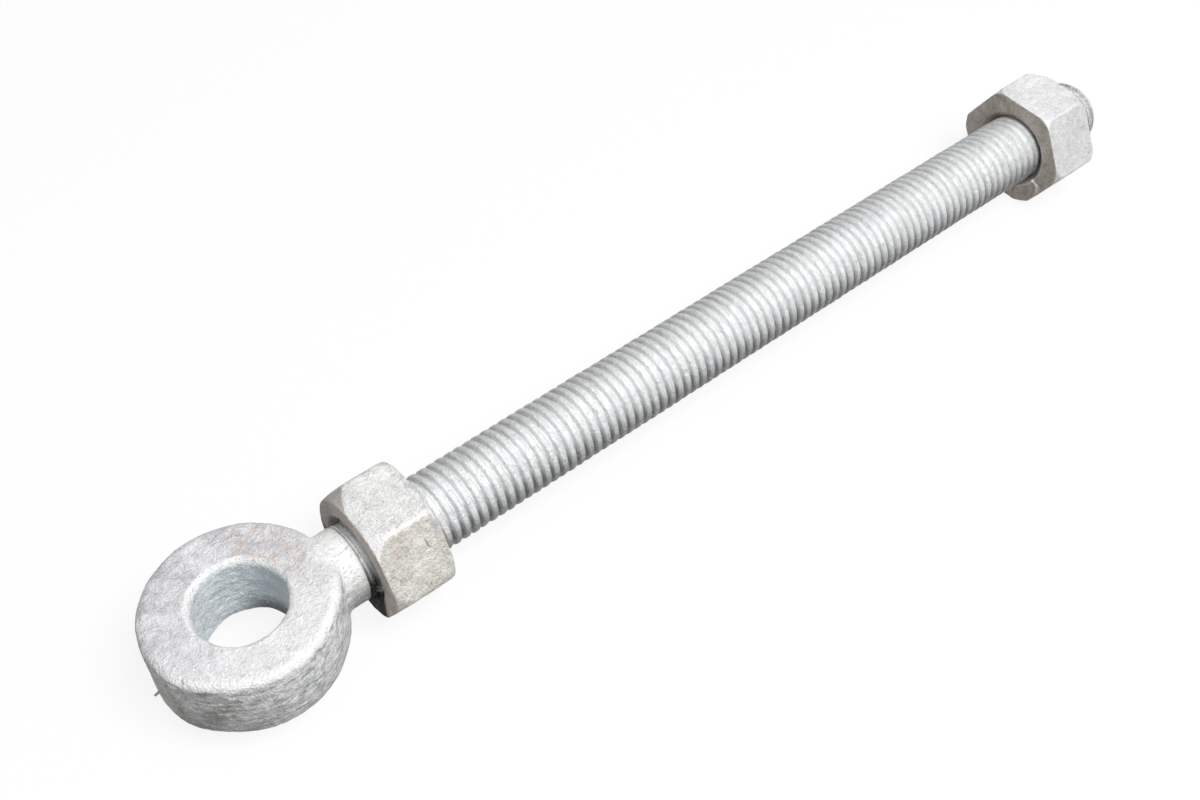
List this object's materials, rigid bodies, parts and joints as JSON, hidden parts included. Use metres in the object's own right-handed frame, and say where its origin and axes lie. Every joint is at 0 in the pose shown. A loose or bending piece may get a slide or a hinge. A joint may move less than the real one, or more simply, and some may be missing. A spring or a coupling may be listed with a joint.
{
  "type": "adjustable gate hinge eye",
  "caption": "Forged eye on a long threaded shank with hex nuts. The eye hangs a gate on an upright pin, and the nuts set how far it stands off the stile.",
  "frame": {"origin": "centre of the eye's bore", "axes": "+X along the shank towards its free end, +Z along the eye's bore, upwards"},
  "size_m": [0.294, 0.043, 0.0308],
  "materials": {
    "galvanised_forging": "hot-dip galvanised, rough and dull with bright edges",
    "galvanised_nut": "hot-dip galvanised, rough, warm grey"
  },
  "bodies": {
    "bolt": {"eye_bolt": "galvanised_forging"},
    "near_nut": {"inner_nut": "galvanised_nut"},
    "far_nut": {"outer_nut": "galvanised_nut"}
  },
  "joints": [
    {"name": "inner_nut_travel", "type": "slide", "parent": "bolt", "child": "near_nut", "axis": [1, 0, 0], "range_m": [0, 0.09906]},
    {"name": "outer_nut_travel", "type": "slide", "parent": "bolt", "child": "far_nut", "axis": [1, 0, 0], "range_m": [-0.09906, 0.01016]}
  ]
}
